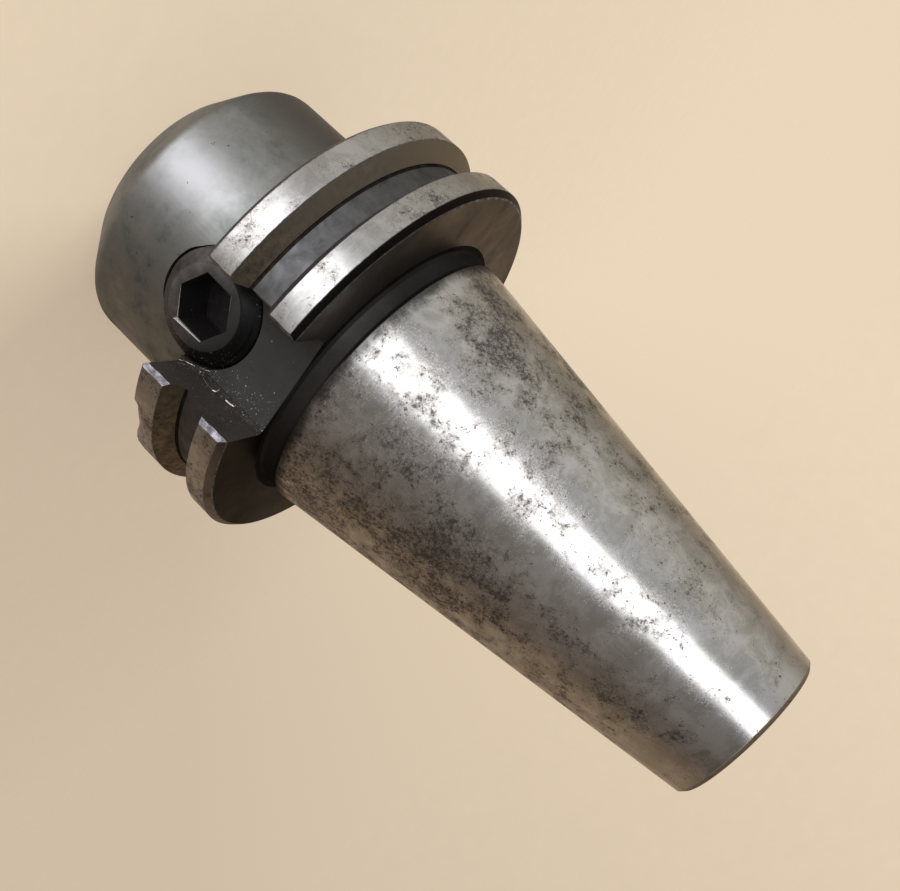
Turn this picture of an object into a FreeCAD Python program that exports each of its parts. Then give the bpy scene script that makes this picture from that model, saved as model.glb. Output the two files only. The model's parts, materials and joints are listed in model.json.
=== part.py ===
import FreeCAD, Part
import math
import os
import Sketcher

# End mill holder with a 7/24 taper shank of size 40, standing on its nose face.
# Millimetres. The origin is the centre of the nose face, +Z runs up the axis to
# the taper's small end, and the set screw and its drive slot face -Y.

sizes = {
    "projection": (44.45, "nose face to gauge plane"),
    "noseDiameter": (44.45, "nose outside diameter"),
    "noseChamfer": (5.5, "chamfer at the nose face"),
    "gaugeDiameter": (44.45, "taper diameter at the gauge plane"),
    "taperLength": (68.25, "gauge plane to small end"),
    "taperFall": (7, "taper: diameter lost"),
    "taperRun": (24, "taper: over this length"),
    "taperLead": (0.15, "taper starts this far below the gauge plane"),
    "tailChamfer": (0.6, "chamfer at the taper's small end"),
    "neckStep": (0.325, "relief between flange and taper, below the gauge radius"),
    "neckFillet": (1.5, "fillet between relief and flange"),
    "flangeDiameter": (63.5, "flange outside diameter"),
    "flangeWidth": (15.875, "flange front face to rear face"),
    "flangeSetback": (3.175, "flange rear face to gauge plane"),
    "frontChamfer": (0.65, "chamfer on the front ring"),
    "rearChamfer": (0.87, "chamfer on the rear ring"),
    "grooveSetback": (11.1, "gripper groove centre to gauge plane"),
    "grooveWidth": (7.04, "gripper groove width at the outside diameter"),
    "grooveFloor": (57.6, "gripper groove floor diameter"),
    "grooveFlank": (30, "gripper groove flank from the radial direction, degrees"),
    "slotWidth": (16.4, "drive slot width"),
    "slotFloor": (22.4, "axis to the floor of the slot with the screw"),
    "slotFloorFar": (25, "axis to the floor of the slot opposite"),
    "slotBevel": (0.65, "worn bevel along the slot's outer edges"),
    "slotFillet": (0.8, "fillet in the slot's floor corners"),
    "slotMouth": (0.7, "worn chamfer where the slot's walls meet the flange's front face"),
    "boreDiameter": (19.05, "bore for the cutter shank"),
    "boreDepth": (58, "nose face to the end of the bore"),
    "boreChamfer": (0.8, "chamfer at the bore's mouth"),
    "passageDiameter": (10, "passage from the bore to the drawbar thread"),
    "drillCone": (31, "slope of a drilled floor from flat, degrees"),
    "drawbarDiameter": (13.5, "drawbar thread, at its crests"),
    "drawbarDepth": (30, "small end to the end of the drawbar thread"),
    "pilotDiameter": (16.3, "pilot bore at the small end"),
    "pilotDepth": (4.8, "depth of the pilot bore"),
    "pilotChamfer": (0.5, "chamfer at the pilot bore's mouth"),
    "screwHeight": (25.35, "nose face to the set screw's axis"),
    "screwDiameter": (15.875, "set screw thread, at its crests"),
    "screwLength": (12.7, "set screw length"),
    "screwProud": (1.5, "set screw stands this far out of the slot floor"),
    "screwGap": (0.05, "radial clearance of the set screw in its hole"),
    "screwFaceBevel": (2.1, "bevel round the socket end, measured across"),
    "screwFaceRun": (1.6, "bevel round the socket end, measured along"),
    "screwTipChamfer": (1.6, "chamfer round the clamping end"),
    "mouthStep": (0.25, "the screw hole's mouth is wider by this radius"),
    "mouthDepth": (0.6, "depth of the mouth below the nose surface"),
    "socketFlats": (7.94, "hex socket across flats"),
    "socketDepth": (6.4, "hex socket depth"),
    "socketTurn": (28, "turn of the socket from +X, degrees"),
    "socketDrill": (7, "drilled end of the socket"),
    "chipDepth": (1.35, "depth of the dents at the front ring's face, from its outside diameter"),
    "chipRun": (2.8, "how far the dents run back along the ring"),
    "chipRadius": (5, "radius of the edge that dented the ring"),
    "chipAngle": (-57.3, "place of the first dent round the axis, degrees"),
    "chipSpacing": (4.2, "angle between the dents, degrees"),
    "chipCount": (3, "number of dents, side by side"),
    "chipReach": (8, "length of the dent's cutting cylinder"),
}

doc = FreeCAD.newDocument("EndMillHolder")
sheet = doc.addObject("Spreadsheet::Sheet", "sizes")
for row, (name, (value, meaning)) in enumerate(sizes.items(), start=1):
    sheet.set(f"A{row}", meaning)
    sheet.set(f"B{row}", str(value))
    sheet.setAlias(f"B{row}", name)
doc.recompute()

# Heights and radii that several features share, as sheet expressions
top = "(sizes.projection + sizes.taperLength)"
flangeRear = "(sizes.projection - sizes.flangeSetback)"
flangeFront = f"({flangeRear} - sizes.flangeWidth)"
grooveCentre = "(sizes.projection - sizes.grooveSetback)"
grooveSlant = "((sizes.flangeDiameter - sizes.grooveFloor) / 2 * tan(sizes.grooveFlank))"
taperStart = "(sizes.projection - sizes.taperLead)"
startRadius = "(sizes.gaugeDiameter / 2 + sizes.taperLead * sizes.taperFall / sizes.taperRun / 2)"
tailRadius = "(sizes.gaugeDiameter / 2 - sizes.taperLength * sizes.taperFall / sizes.taperRun / 2)"
flangeRadius = "(sizes.flangeDiameter / 2)"
noseRadius = "(sizes.noseDiameter / 2)"
neckRadius = "(sizes.gaugeDiameter / 2 - sizes.neckStep)"
boreRadius = "(sizes.boreDiameter / 2)"
passageRadius = "(sizes.passageDiameter / 2)"
drawbarRadius = "(sizes.drawbarDiameter / 2)"
pilotRadius = "(sizes.pilotDiameter / 2)"
screwRadius = "(sizes.screwDiameter / 2)"
holeRadius = f"({screwRadius} + sizes.screwGap)"
clearOfFlange = f"({flangeRadius} + 2)"


def measure(expression):
    return float(sheet.evalExpression(expression))


def originPlane(body, role):
    return next(feature for feature in body.Origin.OriginFeatures if feature.Role == role)


def newSketch(body, name, role):
    sketch = body.newObject("Sketcher::SketchObject", name)
    sketch.AttachmentSupport = (originPlane(body, role), [""])
    sketch.MapMode = "FlatFace"
    return sketch


def pinCoordinate(sketch, kind, line, expression, name):
    # The start of a line is held at a signed distance from the sketch's origin
    value = measure(expression)
    if abs(value) < 1e-9:
        axis = -2 if kind == "DistanceX" else -1
        sketch.addConstraint(Sketcher.Constraint("PointOnObject", line, 1, axis))
        return
    if value > 0:
        number = sketch.addConstraint(Sketcher.Constraint(kind, -1, 1, line, 1, value))
        formula = expression
    else:
        number = sketch.addConstraint(Sketcher.Constraint(kind, line, 1, -1, 1, -value))
        formula = f"-({expression})"
    sketch.renameConstraint(number, name)
    sketch.setExpression(f"Constraints.{name}", formula)


def outline(body, name, role, corners):
    sketch = newSketch(body, name, role)
    places = [FreeCAD.Vector(measure(x), measure(y), 0) for x, y in corners]
    count = len(places)
    for line in range(count):
        segment = Part.LineSegment(places[line], places[(line + 1) % count])
        sketch.addGeometry(segment, False)
    for line in range(count):
        after = (line + 1) % count
        sketch.addConstraint(Sketcher.Constraint("Coincident", line, 2, after, 1))
    for line, (x, y) in enumerate(corners):
        pinCoordinate(sketch, "DistanceX", line, x, f"across{line}")
        pinCoordinate(sketch, "DistanceY", line, y, f"along{line}")
    return sketch


def addRevolved(body, kind, name, sketch, axis):
    feature = body.newObject(kind, name)
    feature.Profile = sketch
    feature.ReferenceAxis = (sketch, [axis])
    feature.Angle = 360
    doc.recompute()
    return feature


def addPocket(body, name, sketch, length):
    feature = body.newObject("PartDesign::Pocket", name)
    feature.Profile = sketch
    feature.setExpression("Length", length)
    doc.recompute()
    return feature


def addEdgeFeature(body, kind, name, edges, size):
    base = body.Tip
    feature = body.newObject(kind, name)
    feature.Base = (base, edges)
    feature.setExpression("Radius" if kind.endswith("Fillet") else "Size", size)
    doc.recompute()
    return feature


def near(first, second):
    return abs(first - second) < 1e-4


def ringEdge(body, radius, height):
    # Full circles round the Z axis, picked by their radius and height
    found = []
    for number, edge in enumerate(body.Shape.Edges, start=1):
        curve = edge.Curve
        if not isinstance(curve, Part.Circle):
            continue
        if near(curve.Radius, measure(radius)) and near(curve.Center.z, measure(height)):
            found.append(f"Edge{number}")
    return found


def slotFloorEdges(body, floor):
    # Straight edges along Z where the slot's walls meet its floor
    found = []
    halfWidth = measure("sizes.slotWidth / 2")
    for number, edge in enumerate(body.Shape.Edges, start=1):
        ends = [vertex.Point for vertex in edge.Vertexes]
        if len(ends) != 2 or not near(ends[0].x, ends[1].x):
            continue
        if all(near(abs(end.x), halfWidth) and near(end.y, floor) for end in ends):
            found.append(f"Edge{number}")
    return found


# Holder body: one turned, milled and ground piece
holder = doc.addObject("PartDesign::Body", "holderBody")
holder.Label = "holder_body"

turned = outline(holder, "turnedOutline", "XZ_Plane", [
    ("0", "0"),
    (noseRadius, "0"),
    (noseRadius, flangeFront),
    (flangeRadius, flangeFront),
    (flangeRadius, f"{grooveCentre} - sizes.grooveWidth / 2"),
    ("sizes.grooveFloor / 2", f"{grooveCentre} - sizes.grooveWidth / 2 + {grooveSlant}"),
    ("sizes.grooveFloor / 2", f"{grooveCentre} + sizes.grooveWidth / 2 - {grooveSlant}"),
    (flangeRadius, f"{grooveCentre} + sizes.grooveWidth / 2"),
    (flangeRadius, flangeRear),
    (neckRadius, flangeRear),
    (neckRadius, f"{taperStart} - ({startRadius} - {neckRadius})"),
    (startRadius, taperStart),
    (tailRadius, top),
    ("0", top),
])
addRevolved(holder, "PartDesign::Revolution", "turnedForm", turned, "V_Axis")
addEdgeFeature(holder, "PartDesign::Fillet", "neckFillet",
               ringEdge(holder, neckRadius, flangeRear), "sizes.neckFillet")
for name, radius, height in (
    ("noseChamfer", noseRadius, "0"),
    ("frontChamfer", flangeRadius, flangeFront),
    ("rearChamfer", flangeRadius, flangeRear),
    ("tailChamfer", tailRadius, top),
):
    addEdgeFeature(holder, "PartDesign::Chamfer", name,
                   ringEdge(holder, radius, height), f"sizes.{name}")

# Two drive slots along Z, each with a worn bevel where it meets the flange's outside
bevelOut = "(sizes.slotWidth / 2 + sizes.slotBevel)"
bevelFoot = f"(sqrt({flangeRadius} ^ 2 - {bevelOut} ^ 2) - sizes.slotBevel)"
bevelReach = f"({clearOfFlange} - {bevelFoot})"
mouthOut = "(sizes.slotWidth / 2 + 2 * sizes.slotMouth)"
for name, floor, turn in (("screwSlot", "sizes.slotFloor", 180), ("farSlot", "sizes.slotFloorFar", 0)):
    section = outline(holder, f"{name}Section", "XY_Plane", [
        ("-sizes.slotWidth / 2", floor),
        ("sizes.slotWidth / 2", floor),
        ("sizes.slotWidth / 2", bevelFoot),
        (f"sizes.slotWidth / 2 + {bevelReach}", clearOfFlange),
        (f"-sizes.slotWidth / 2 - {bevelReach}", clearOfFlange),
        ("-sizes.slotWidth / 2", bevelFoot),
    ])
    section.AttachmentOffset = FreeCAD.Placement(
        FreeCAD.Vector(0, 0, 0), FreeCAD.Rotation(FreeCAD.Vector(0, 0, 1), turn))
    section.setExpression("AttachmentOffset.Base.z", "sizes.projection")
    addPocket(holder, name, section, f"sizes.projection - {flangeFront}")
    facing = -1 if turn else 1
    addEdgeFeature(holder, "PartDesign::Fillet", f"{name}Fillet",
                   slotFloorEdges(holder, facing * measure(floor)), "sizes.slotFillet")
    mouth = outline(holder, f"{name}MouthSection", "XZ_Plane", [
        (f"-{mouthOut}", f"{flangeFront} - sizes.slotMouth"),
        (mouthOut, f"{flangeFront} - sizes.slotMouth"),
        ("sizes.slotWidth / 2", f"{flangeFront} + sizes.slotMouth"),
        ("-sizes.slotWidth / 2", f"{flangeFront} + sizes.slotMouth"),
    ])
    mouth.AttachmentOffset = FreeCAD.Placement(
        FreeCAD.Vector(0, 0, 0), FreeCAD.Rotation(FreeCAD.Vector(0, 1, 0), 180 - turn))
    mouth.setExpression("AttachmentOffset.Base.z", f"{-facing} * {clearOfFlange}")
    addPocket(holder, f"{name}Mouth", mouth, f"{clearOfFlange} - {floor}")

# Cutter bore, passage and drawbar thread on the one axis
drilledFloor = f"(sizes.boreDepth + ({boreRadius} - {passageRadius}) * tan(sizes.drillCone))"
threadEnd = f"({top} - sizes.drawbarDepth)"
threadCone = f"({threadEnd} - ({drawbarRadius} - {passageRadius}) * tan(sizes.drillCone))"
pilotFloor = f"({top} - sizes.pilotDepth)"
bored = outline(holder, "boredOutline", "XZ_Plane", [
    ("0", "0"),
    (f"{boreRadius} + sizes.boreChamfer", "0"),
    (boreRadius, "sizes.boreChamfer"),
    (boreRadius, "sizes.boreDepth"),
    (passageRadius, drilledFloor),
    (passageRadius, threadCone),
    (drawbarRadius, threadEnd),
    (drawbarRadius, f"{pilotFloor} - ({pilotRadius} - {drawbarRadius})"),
    (pilotRadius, pilotFloor),
    (pilotRadius, f"{top} - sizes.pilotChamfer"),
    (f"{pilotRadius} + sizes.pilotChamfer", top),
    ("0", top),
])
addRevolved(holder, "PartDesign::Groove", "boredForm", bored, "V_Axis")

# Cross hole for the set screw, with a slightly wider mouth
mouthFloor = f"({noseRadius} - sizes.mouthDepth)"
mouthRadius = f"({holeRadius} + sizes.mouthStep)"
cross = outline(holder, "screwHoleOutline", "YZ_Plane", [
    ("0", "0"),
    ("0", holeRadius),
    (f"-{mouthFloor}", holeRadius),
    (f"-{mouthFloor} - sizes.mouthStep", mouthRadius),
    (f"-{clearOfFlange}", mouthRadius),
    (f"-{clearOfFlange}", "0"),
])
cross.setExpression("AttachmentOffset.Base.y", "sizes.screwHeight")
addRevolved(holder, "PartDesign::Groove", "screwHole", cross, "H_Axis")

# Dents along the front ring's front edge, beside the slot
chipTilt = measure("atan(sizes.chipDepth / sizes.chipRun)")
cutterAxis = f"({flangeRadius} - sizes.chipDepth + sizes.chipRadius / cos({chipTilt}))"
for number in range(round(measure("sizes.chipCount"))):
    around = f"(sizes.chipAngle + {number} * sizes.chipSpacing)"
    lean = FreeCAD.Rotation(FreeCAD.Vector(0, 1, 0), chipTilt)
    swing = FreeCAD.Rotation(FreeCAD.Vector(0, 0, 1), measure(around))
    startRun = f"(sizes.chipReach / 2 * sin({chipTilt}))"
    dent = holder.newObject("PartDesign::SubtractiveCylinder", f"dent{number + 1}")
    dent.AttachmentSupport = (originPlane(holder, "XY_Plane"), [""])
    dent.MapMode = "FlatFace"
    dent.AttachmentOffset = FreeCAD.Placement(FreeCAD.Vector(0, 0, 0), swing.multiply(lean))
    dent.setExpression("AttachmentOffset.Base.x", f"({cutterAxis} - {startRun}) * cos({around})")
    dent.setExpression("AttachmentOffset.Base.y", f"({cutterAxis} - {startRun}) * sin({around})")
    dent.setExpression("AttachmentOffset.Base.z",
                       f"{flangeFront} - sizes.chipReach / 2 * cos({chipTilt})")
    dent.setExpression("Radius", "sizes.chipRadius")
    dent.setExpression("Height", "sizes.chipReach")
    doc.recompute()

# Set screw, modelled upright on its clamping end and then turned to face -Y
screw = doc.addObject("PartDesign::Body", "setScrew")
screw.Label = "set_screw"
blank = outline(screw, "screwOutline", "XZ_Plane", [
    ("0", "0"),
    (f"{screwRadius} - sizes.screwTipChamfer", "0"),
    (screwRadius, "sizes.screwTipChamfer"),
    (screwRadius, "sizes.screwLength - sizes.screwFaceRun"),
    (f"{screwRadius} - sizes.screwFaceBevel", "sizes.screwLength"),
    ("0", "sizes.screwLength"),
])
addRevolved(screw, "PartDesign::Revolution", "screwForm", blank, "V_Axis")

socketCorner = "(sizes.socketFlats / sqrt(3))"
hexagon = outline(screw, "socketOutline", "XY_Plane", [
    (f"{socketCorner} * cos(sizes.socketTurn + {60 * corner})",
     f"{socketCorner} * sin(sizes.socketTurn + {60 * corner})")
    for corner in range(6)
])
hexagon.setExpression("AttachmentOffset.Base.z", "sizes.screwLength")
addPocket(screw, "socket", hexagon, "sizes.socketDepth")

socketFloor = "(sizes.screwLength - sizes.socketDepth)"
drill = outline(screw, "socketDrillOutline", "XZ_Plane", [
    ("0", "sizes.screwLength"),
    ("sizes.socketDrill / 2", "sizes.screwLength"),
    ("sizes.socketDrill / 2", socketFloor),
    ("0", f"{socketFloor} - sizes.socketDrill / 2 * tan(sizes.drillCone)"),
])
addRevolved(screw, "PartDesign::Groove", "socketDrillEnd", drill, "V_Axis")

tipReach = "(sizes.slotFloor + sizes.screwProud - sizes.screwLength)"
screw.Placement = FreeCAD.Placement(
    FreeCAD.Vector(0, 0, 0), FreeCAD.Rotation(FreeCAD.Vector(1, 0, 0), 90))
screw.setExpression("Placement.Base.y", f"-{tipReach}")
screw.setExpression("Placement.Base.z", "sizes.screwHeight")
doc.recompute()

# Every feature has to be sound before a file is written
for item in doc.Objects:
    if "Invalid" in item.State or "Error" in item.State:
        raise RuntimeError(f"{item.Name} failed: {item.State}")

os.makedirs("parts", exist_ok=True)
for body in (holder, screw):
    shape = body.Shape
    if shape.isNull() or not shape.isValid() or len(shape.Solids) != 1:
        raise RuntimeError(f"{body.Label} is not one sound solid")
    shape.exportStep(f"parts/{body.Label}.step")
    box = shape.BoundBox
    print(f"{body.Label}: {shape.Volume:.1f} mm3, {len(shape.Faces)} faces, "
          f"x {box.XMin:.3f} {box.XMax:.3f}, y {box.YMin:.3f} {box.YMax:.3f}, "
          f"z {box.ZMin:.3f} {box.ZMax:.3f}")
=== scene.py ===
import bpy
import json
import math
import random
from mathutils import Matrix, Quaternion, Vector

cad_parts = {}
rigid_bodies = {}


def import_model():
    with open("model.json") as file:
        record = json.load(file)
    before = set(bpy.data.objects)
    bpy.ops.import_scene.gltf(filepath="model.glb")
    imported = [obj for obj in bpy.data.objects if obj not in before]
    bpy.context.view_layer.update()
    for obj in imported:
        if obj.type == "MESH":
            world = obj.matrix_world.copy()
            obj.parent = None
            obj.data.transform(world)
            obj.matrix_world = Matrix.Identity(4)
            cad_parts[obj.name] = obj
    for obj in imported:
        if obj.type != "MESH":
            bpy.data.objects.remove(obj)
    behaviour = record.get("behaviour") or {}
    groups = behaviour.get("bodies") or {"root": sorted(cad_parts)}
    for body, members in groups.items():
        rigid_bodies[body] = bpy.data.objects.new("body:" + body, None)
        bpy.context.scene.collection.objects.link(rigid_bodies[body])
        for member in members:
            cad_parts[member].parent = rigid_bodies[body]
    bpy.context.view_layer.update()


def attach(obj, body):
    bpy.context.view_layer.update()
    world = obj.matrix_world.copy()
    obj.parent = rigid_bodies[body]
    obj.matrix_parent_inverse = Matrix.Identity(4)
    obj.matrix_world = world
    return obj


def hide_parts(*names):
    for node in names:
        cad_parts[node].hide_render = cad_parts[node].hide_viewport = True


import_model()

# Lengths are in millimetres, from the nose face up the tool axis, unless a note says otherwise
mm = 0.001


def toLinear(hexColour, alpha=1.0):
    channels = [int(hexColour[i:i + 2], 16) / 255 for i in (1, 3, 5)]
    return [c / 12.92 if c <= 0.04045 else ((c + 0.055) / 1.055) ** 2.4 for c in channels] + [alpha]


def addNode(tree, kind, settings=None, links=None):
    node = tree.nodes.new(kind)
    for name, value in (settings or {}).items():
        if name == "stops":
            for place, hexColour in value[1:-1]:
                node.color_ramp.elements.new(place).color = toLinear(hexColour)
            for index, (place, hexColour) in ((0, value[0]), (-1, value[-1])):
                node.color_ramp.elements[index].position = place
                node.color_ramp.elements[index].color = toLinear(hexColour)
        elif isinstance(name, int) or name in node.inputs:
            node.inputs[name].default_value = value
        else:
            setattr(node, name, value)
    for name, source in (links or {}).items():
        tree.links.new(source, node.inputs[name])
    return node


def deselectAll():
    if bpy.context.object and bpy.context.object.mode != "OBJECT":
        bpy.ops.object.mode_set(mode="OBJECT")
    bpy.ops.object.select_all(action="DESELECT")


def makeActive(piece):
    deselectAll()
    piece.select_set(True)
    bpy.context.view_layer.objects.active = piece


def applyPlace(piece):
    makeActive(piece)
    bpy.ops.object.transform_apply(location=True, rotation=True, scale=True)


# Rounds the corners of a turned outline: each corner is (radius, height, rounding)
def roundCorners(corners, steps=3):
    points = []
    count = len(corners)
    for i, (radius, height, rounding) in enumerate(corners):
        here = Vector((radius, height))
        back = Vector(corners[i - 1][:2]) - here
        ahead = Vector(corners[(i + 1) % count][:2]) - here
        turn = math.pi - back.angle(ahead)
        if rounding == 0 or turn < 0.02:
            points.append(here)
            continue
        reach = rounding * math.tan(turn / 2)
        reach = min(reach, back.length * 0.45, ahead.length * 0.45)
        start = here + back.normalized() * reach
        end = here + ahead.normalized() * reach
        for step in range(steps + 1):
            t = step / steps
            points.append(start * (1 - t) ** 2 + here * 2 * t * (1 - t) + end * t ** 2)
    return points


# Turns a closed outline round the Z axis, ring by ring, by extruding a circle
def turnOutline(name, corners, segments, steps=3):
    points = roundCorners(corners, steps)
    deselectAll()
    radius, height = points[0]
    bpy.ops.mesh.primitive_circle_add(
        vertices=segments, radius=radius * mm, location=(0, 0, height * mm), fill_type="NOTHING")
    piece = bpy.context.object
    piece.name = name
    applyPlace(piece)
    bpy.ops.object.mode_set(mode="EDIT")
    bpy.ops.mesh.select_all(action="SELECT")
    for last, now in zip(points, points[1:] + points[:1]):
        bpy.ops.mesh.extrude_region_move()
        bpy.ops.transform.resize(
            value=(now.x / last.x, now.x / last.x, 1), center_override=(0, 0, 0))
        bpy.ops.transform.translate(value=(0, 0, (now.y - last.y) * mm))
    bpy.ops.mesh.select_all(action="SELECT")
    bpy.ops.mesh.remove_doubles(threshold=1e-7)
    bpy.ops.mesh.normals_make_consistent(inside=False)
    bpy.ops.object.mode_set(mode="OBJECT")
    return piece


def cutAway(piece, cutter, operation="DIFFERENCE"):
    makeActive(piece)
    cut = piece.modifiers.new("cut", "BOOLEAN")
    cut.operation = operation
    cut.solver = "EXACT"
    cut.object = cutter
    bpy.ops.object.modifier_apply(modifier=cut.name)
    bpy.data.objects.remove(cutter)


def selectWhere(piece, kind, test):
    makeActive(piece)
    bpy.ops.object.mode_set(mode="EDIT")
    bpy.ops.mesh.select_mode(type={"edges": "EDGE", "polygons": "FACE", "vertices": "VERT"}[kind])
    bpy.ops.mesh.select_all(action="DESELECT")
    bpy.ops.object.mode_set(mode="OBJECT")
    vertices = piece.data.vertices
    for item in getattr(piece.data, kind):
        if kind == "vertices":
            item.select = test([item.co])
        else:
            item.select = test([vertices[i].co for i in item.vertices])
    bpy.ops.object.mode_set(mode="EDIT")


holderSizes = {
    "noseRadius": 22.225,
    "noseChamfer": 5.5,
    "boreRadius": 9.525,
    "boreChamfer": 0.8,
    "boreDepth": 58,
    "passageRadius": 5,
    "passageTop": 81.65,
    "passageFoot": 60.72,
    "flangeRadius": 31.75,
    "flangeFront": 25.4,
    "flangeRear": 41.275,
    "frontChamfer": 0.65,
    "rearChamfer": 0.87,
    "grooveCentre": 33.35,
    "grooveWidth": 7.04,
    "grooveFloor": 28.8,
    "neckRadius": 21.9,
    "neckFillet": 1.5,
    "taperStart": 44.3,
    "taperRadius": 22.247,
    "tailRadius": 12.27,
    "tailChamfer": 0.6,
    "threadCrest": 6.75,
    "threadRoot": 7.94,
    "threadPitch": 2.309,
    "threadFoot": 82.7,
    "pilotRadius": 8.15,
    "pilotFloor": 107.9,
    "pilotChamfer": 0.5,
    "segments": 192,
}
slotSizes = {
    "width": 16.4,
    "floor": 22.4,
    "floorFar": 25,
    "bevel": 0.65,
    "fillet": 0.8,
    "mouth": 0.7,       # worn chamfer at the flange's front face
    "waves": [(5.3, 0.05), (2.1, 0.04), (0.8, 0.02)],    # lengths and sizes of the worn edges' waver
    "steps": 70,
}
dentSizes = {
    "depth": 1.35,      # from the outside diameter, at the ring's face
    "run": 2.8,
    "radius": 5,
    "angle": -57.3,     # degrees round the axis from +X
    "spacing": 2.1,
    "count": 5,
    "reach": 8,
    "burrAngle": -39.5,
    "burrSpread": 2.6,
    "burr": 0.55,
}
screwSizes = {
    "height": 25.35,
    "radius": 7.9375,
    "length": 12.7,
    "face": 23.9,       # from the tool axis
    "faceBevel": 2.1,
    "faceRun": 1.6,
    "tipChamfer": 1.6,
    "holeRadius": 7.9875,
    "mouthRadius": 8.2375,
    "mouthFloor": 21.625,
    "pitch": 1.411,
    "threadDepth": 0.77,
    "socketFlats": 7.94,
    "socketDepth": 6.4,
    "socketTurn": 28,   # degrees
    "socketEdge": 0.12,
    "wornEdge": 0.4,
    "wornSide": 5,
    "segments": 96,
}
topHeight = 112.7


def buildHolder():
    h = holderSizes
    flankRun = (h["flangeRadius"] - h["grooveFloor"]) * math.tan(math.radians(30))
    grooveLow = h["grooveCentre"] - h["grooveWidth"] / 2
    grooveHigh = h["grooveCentre"] + h["grooveWidth"] / 2
    corners = [
        (h["boreRadius"] + h["boreChamfer"], 0, 0.15),
        (h["noseRadius"] - h["noseChamfer"], 0, 0.8),
        (h["noseRadius"], h["noseChamfer"], 2.5),
        (h["noseRadius"], h["flangeFront"], 0.3),
        (h["flangeRadius"] - h["frontChamfer"], h["flangeFront"], 0.15),
        (h["flangeRadius"], h["flangeFront"] + h["frontChamfer"], 0.2),
        (h["flangeRadius"], grooveLow, 0.12),
        (h["grooveFloor"], grooveLow + flankRun, 0.5),
        (h["grooveFloor"], grooveHigh - flankRun, 0.3),
        (h["flangeRadius"], grooveHigh, 0.12),
        (h["flangeRadius"], h["flangeRear"] - h["rearChamfer"], 0.15),
        (h["flangeRadius"] - h["rearChamfer"], h["flangeRear"], 0.35),
        (h["neckRadius"], h["flangeRear"], h["neckFillet"]),
        (h["neckRadius"], h["taperStart"] - 0.35, 0.5),
        (h["taperRadius"], h["taperStart"], 0.5),
        (h["tailRadius"] + h["tailChamfer"] * 7 / 48, topHeight - h["tailChamfer"], 0.3),
        (h["tailRadius"] - h["tailChamfer"], topHeight, 0.2),
        (h["pilotRadius"] + h["pilotChamfer"], topHeight, 0.1),
        (h["pilotRadius"], topHeight - h["pilotChamfer"], 0.1),
        (h["pilotRadius"], h["pilotFloor"], 0.1),
        (h["threadCrest"], h["pilotFloor"] - 1.4, 0.1),
        *[(h["threadCrest"], height, 0) for height in threadHeights()],
        (h["threadCrest"], h["threadFoot"], 0.1),
        (h["passageRadius"], h["passageTop"], 0.1),
        (h["passageRadius"], h["passageFoot"], 0.1),
        (h["boreRadius"], h["boreDepth"], 0.1),
        (h["boreRadius"], h["boreChamfer"], 0.15),
    ]
    piece = turnOutline("holderBody", corners, h["segments"])
    for floor, facing in ((slotSizes["floor"], -1), (slotSizes["floorFar"], 1)):
        cutAway(piece, slotCutter(floor, facing))
        cutAway(piece, mouthCutter(floor, facing))
    cutAway(piece, screwHoleCutter())
    for number in range(dentSizes["count"]):
        cutAway(piece, dentCutter(number))
    cutThread(piece)
    raiseBurr(piece)
    return piece


# Heights of the rings that carry the drawbar thread, from the pilot bore down
def threadHeights():
    h = holderSizes
    step = h["threadPitch"] / 10
    top, foot = h["pilotFloor"] - 1.4 - step, h["threadFoot"] + step
    count = int((top - foot) / step)
    return [top - i * step for i in range(count)]


# Moves the wall of the tapped hole out to the thread's flanks, ring by ring
def cutThread(piece):
    h = holderSizes
    low, high = h["threadFoot"] + 0.4, h["pilotFloor"] - 1.8
    for vertex in piece.data.vertices:
        x, y, z = vertex.co / mm
        radius = math.hypot(x, y)
        if abs(radius - h["threadCrest"]) > 0.05 or not low < z < high:
            continue
        rise = (z / h["threadPitch"] - math.atan2(y, x) / (2 * math.pi)) % 1
        flank = min(1, max(0, (abs(rise - 0.5) * 2 - 0.12) / 0.7))
        fade = min(1, (high - z) / 0.8, (z - low) / 1.5)
        grow = 1 + (h["threadRoot"] / h["threadCrest"] - 1) * flank * fade
        vertex.co.x *= grow
        vertex.co.y *= grow


# Metal that the blows pushed up beside the dents
def raiseBurr(piece):
    h, d = holderSizes, dentSizes
    for vertex in piece.data.vertices:
        x, y, z = vertex.co / mm
        radius = math.hypot(x, y)
        if z > h["flangeFront"] + 0.3 or abs(radius - h["flangeRadius"] + h["frontChamfer"]) > 0.3:
            continue
        if z < h["flangeFront"] - 0.1:
            continue
        off = (math.degrees(math.atan2(y, x)) - d["burrAngle"]) / d["burrSpread"]
        grow = 1 + d["burr"] * math.exp(-off * off) / radius
        vertex.co.x *= grow
        vertex.co.y *= grow


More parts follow.
